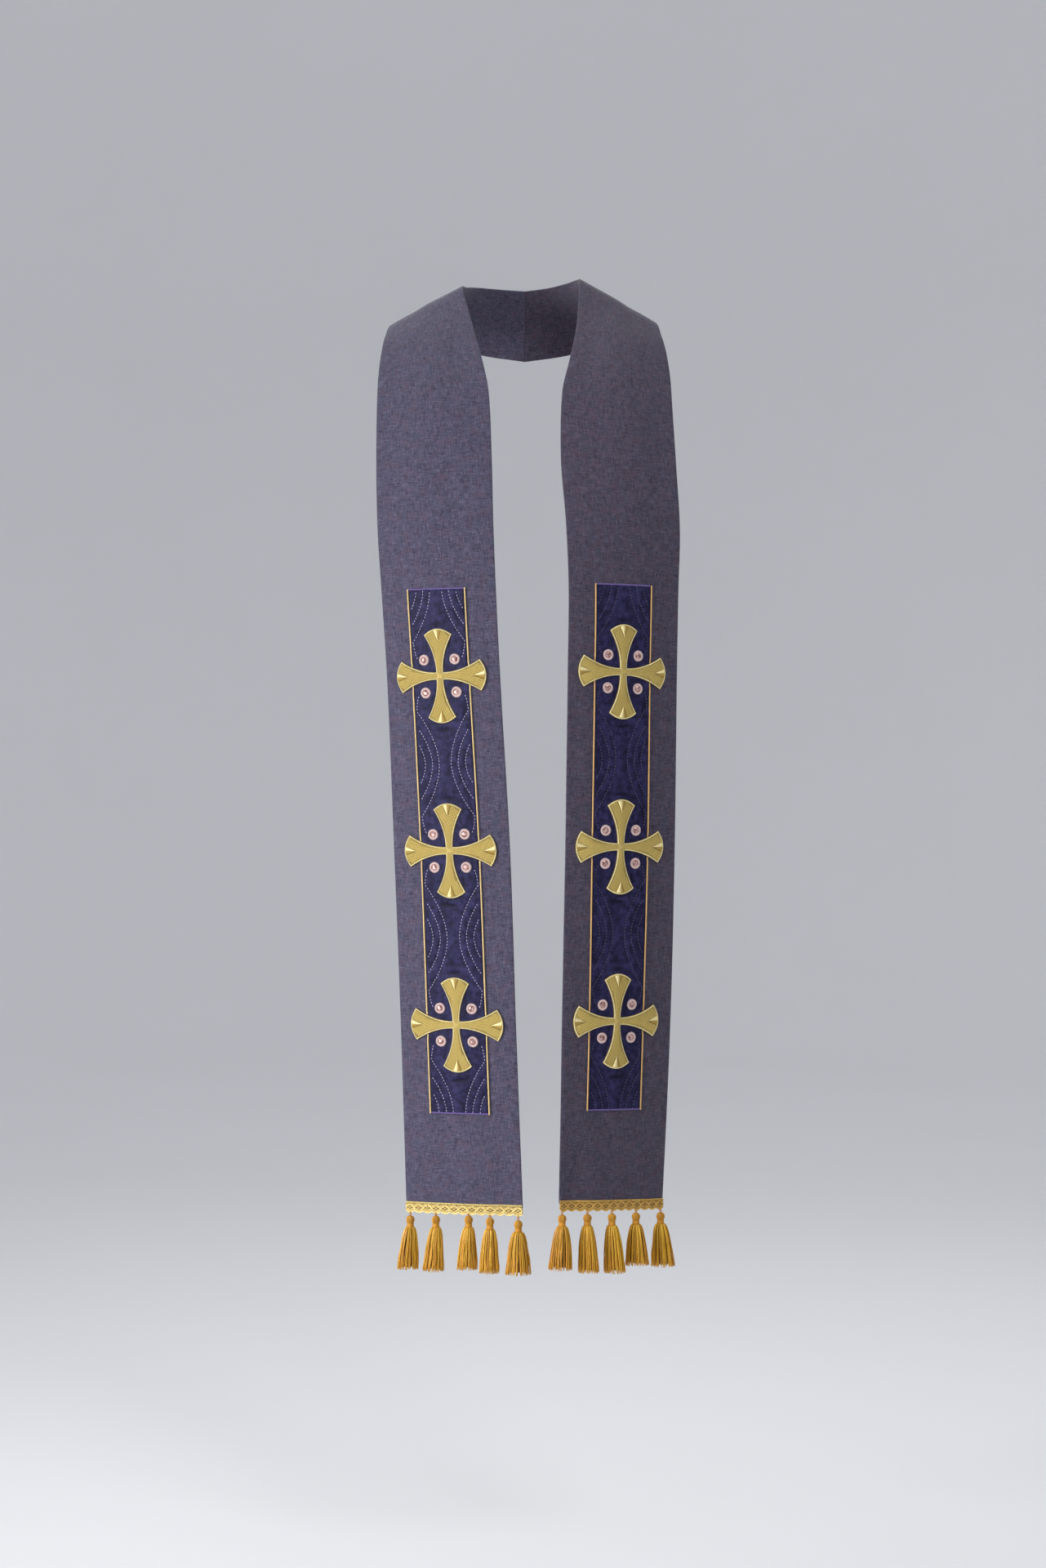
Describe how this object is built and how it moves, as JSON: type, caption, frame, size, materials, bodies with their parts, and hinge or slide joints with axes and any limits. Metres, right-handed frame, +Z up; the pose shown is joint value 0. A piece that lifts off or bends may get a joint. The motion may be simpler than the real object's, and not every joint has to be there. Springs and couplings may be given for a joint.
{
  "type": "clerical stole",
  "caption": "Clerical stole as worn: two heathered bands joined behind the neck, with satin panels, raised gold crosses, stitched roundels, gimp braid and tassels.",
  "frame": {"origin": "middle of the neck opening, level with the place where the stole crosses the side of the neck", "axes": "+Z up along the hanging bands, -Y to the front, -X towards the wearer's right"},
  "size_m": [0.369, 0.2941, 1.2167],
  "materials": {
    "heather_cloth": "matt heathered plain weave, grey-purple",
    "navy_satin": "navy-purple satin with running stitches",
    "gold_cord": "couched gold metallic cord",
    "gold_thread": "thick gold metallic embroidery, ribbed on the slant, with a satin-stitched edge",
    "pink_roundel": "satin-stitched pale pink ring round a small faceted jewel",
    "gimp_braid": "openwork gimp braid in pale gold metallic thread",
    "tassel_yarn": "silky golden yellow yarn"
  },
  "bodies": {
    "root": {"band_right": "heather_cloth", "band_left": "heather_cloth", "panel_right": "navy_satin", "panel_left": "navy_satin", "cord_right_inner": "gold_cord", "cord_right_outer": "gold_cord", "cord_left_inner": "gold_cord", "cord_left_outer": "gold_cord", "cross_right_1": "gold_thread", "cross_right_2": "gold_thread", "cross_right_3": "gold_thread", "cross_left_1": "gold_thread", "cross_left_2": "gold_thread", "cross_left_3": "gold_thread", "roundel_right_1a": "pink_roundel", "roundel_right_1b": "pink_roundel", "roundel_right_1c": "pink_roundel", "roundel_right_1d": "pink_roundel", "roundel_right_2a": "pink_roundel", "roundel_right_2b": "pink_roundel", "roundel_right_2c": "pink_roundel", "roundel_right_2d": "pink_roundel", "roundel_right_3a": "pink_roundel", "roundel_right_3b": "pink_roundel", "roundel_right_3c": "pink_roundel", "roundel_right_3d": "pink_roundel", "roundel_left_1a": "pink_roundel", "roundel_left_1b": "pink_roundel", "roundel_left_1c": "pink_roundel", "roundel_left_1d": "pink_roundel", "roundel_left_2a": "pink_roundel", "roundel_left_2b": "pink_roundel", "roundel_left_2c": "pink_roundel", "roundel_left_2d": "pink_roundel", "roundel_left_3a": "pink_roundel", "roundel_left_3b": "pink_roundel", "roundel_left_3c": "pink_roundel", "roundel_left_3d": "pink_roundel", "braid_right": "gimp_braid", "braid_left": "gimp_braid", "tassel_right_1": "tassel_yarn", "tassel_right_2": "tassel_yarn", "tassel_right_3": "tassel_yarn", "tassel_right_4": "tassel_yarn", "tassel_right_5": "tassel_yarn", "tassel_left_1": "tassel_yarn", "tassel_left_2": "tassel_yarn", "tassel_left_3": "tassel_yarn", "tassel_left_4": "tassel_yarn", "tassel_left_5": "tassel_yarn"}
  },
  "joints": []
}
